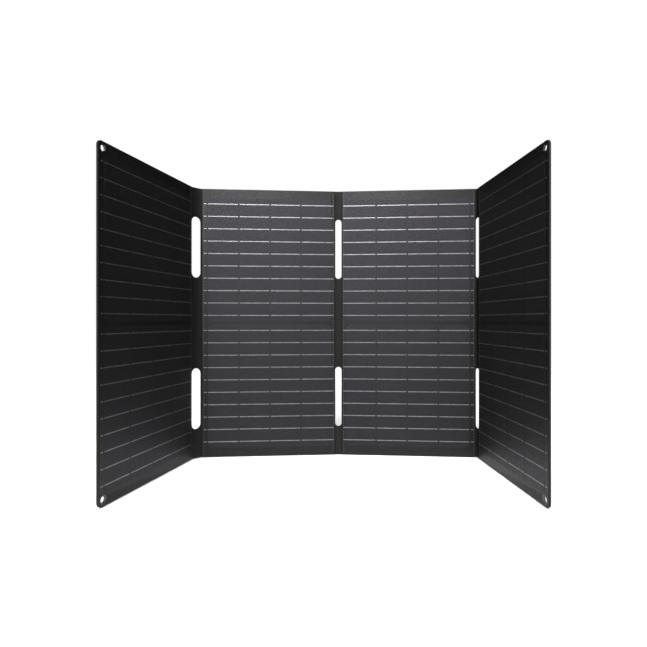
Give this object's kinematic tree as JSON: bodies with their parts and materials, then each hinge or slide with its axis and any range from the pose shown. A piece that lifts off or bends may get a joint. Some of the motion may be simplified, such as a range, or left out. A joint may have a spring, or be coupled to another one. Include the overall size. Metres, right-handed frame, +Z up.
{
  "type": "folding solar panel",
  "caption": "Folding solar panel: rigid laminated panels joined by slotted cloth hinge strips, with corner eyelets and an output box behind one wing.",
  "frame": {"origin": "middle of the footprint on the ground, in the standing pose with both wings folded forward", "axes": "+Z up; the cells of the two middle panels face -Y; +X to the right as seen from the front"},
  "size_m": [0.4866, 0.223, 0.396],
  "materials": {
    "back_cloth": "coarse woven polyester, coated",
    "board": "stiff laminate board",
    "film": "embossed clear laminate over black",
    "cell": "dark single-crystal silicon",
    "ribbon": "tinned copper ribbon",
    "flat_cable": "flat copper tape",
    "strip_cloth": "woven polyester hinge cloth",
    "eyelet_metal": "nickel-plated, slightly dull",
    "box_plastic": "fine-textured moulded plastic",
    "seal": "moulded rubber",
    "screw_steel": "plated steel",
    "circuit_board": "green circuit board",
    "chip_plastic": "moulded black plastic",
    "lead": "insulated wire",
    "lens": "clear tinted plastic"
  },
  "bodies": {
    "center_left": {"center_left_cover": "back_cloth", "center_left_board": "board", "center_left_film": "film", "center_left_cells": "cell", "center_left_ribbons": "ribbon", "center_left_bus_bars": "ribbon", "center_left_jumpers": "flat_cable", "center_left_outer_strip": "strip_cloth", "center_left_inner_strip": "strip_cloth"},
    "center_right": {"center_right_cover": "back_cloth", "center_right_board": "board", "center_right_film": "film", "center_right_cells": "cell", "center_right_ribbons": "ribbon", "center_right_bus_bars": "ribbon", "center_right_jumpers": "flat_cable", "center_right_inner_strip": "strip_cloth", "center_right_outer_strip": "strip_cloth"},
    "left_wing": {"left_wing_cover": "back_cloth", "left_wing_board": "board", "left_wing_film": "film", "left_wing_cells": "cell", "left_wing_ribbons": "ribbon", "left_wing_bus_bars": "ribbon", "left_wing_jumpers": "flat_cable", "left_wing_strip": "strip_cloth", "left_upper_eyelet": "eyelet_metal", "left_upper_washer": "eyelet_metal", "left_lower_eyelet": "eyelet_metal", "left_lower_washer": "eyelet_metal", "box_base": "box_plastic", "box_gasket": "seal", "box_cover": "box_plastic", "box_screws": "screw_steel", "circuit_board": "circuit_board", "circuit_parts": "chip_plastic", "box_leads": "lead", "dc_socket": "chip_plastic", "usb_a_port": "screw_steel", "usb_c_port": "screw_steel", "indicator_lens": "lens", "flap_pin": "screw_steel"},
    "right_wing": {"right_wing_cover": "back_cloth", "right_wing_board": "board", "right_wing_film": "film", "right_wing_cells": "cell", "right_wing_ribbons": "ribbon", "right_wing_bus_bars": "ribbon", "right_wing_jumpers": "flat_cable", "right_wing_strip": "strip_cloth", "right_upper_eyelet": "eyelet_metal", "right_upper_washer": "eyelet_metal", "right_lower_eyelet": "eyelet_metal", "right_lower_washer": "eyelet_metal"},
    "port_flap": {"port_flap": "seal"}
  },
  "joints": [
    {"name": "center_fold", "type": "hinge", "parent": "center_left", "child": "center_right", "pos_m": [0.02235, 0.11281, 0.198], "axis": [0, 0, 1], "range_deg": [-18, 184]},
    {"name": "left_fold", "type": "hinge", "parent": "center_left", "child": "left_wing", "pos_m": [-0.18635, 0.09066, 0.198], "axis": [0, 0, 1], "range_deg": [-71, 107]},
    {"name": "right_fold", "type": "hinge", "parent": "center_right", "child": "right_wing", "pos_m": [0.22532, 0.09292, 0.198], "axis": [0, 0, -1], "range_deg": [-81.5, 98.5]},
    {"name": "flap_hinge", "type": "hinge", "parent": "left_wing", "child": "port_flap", "pos_m": [-0.22788, 0.00317, 0.1638], "axis": [0.2504, 0.9681, 0], "range_deg": [0, 110]}
  ]
}
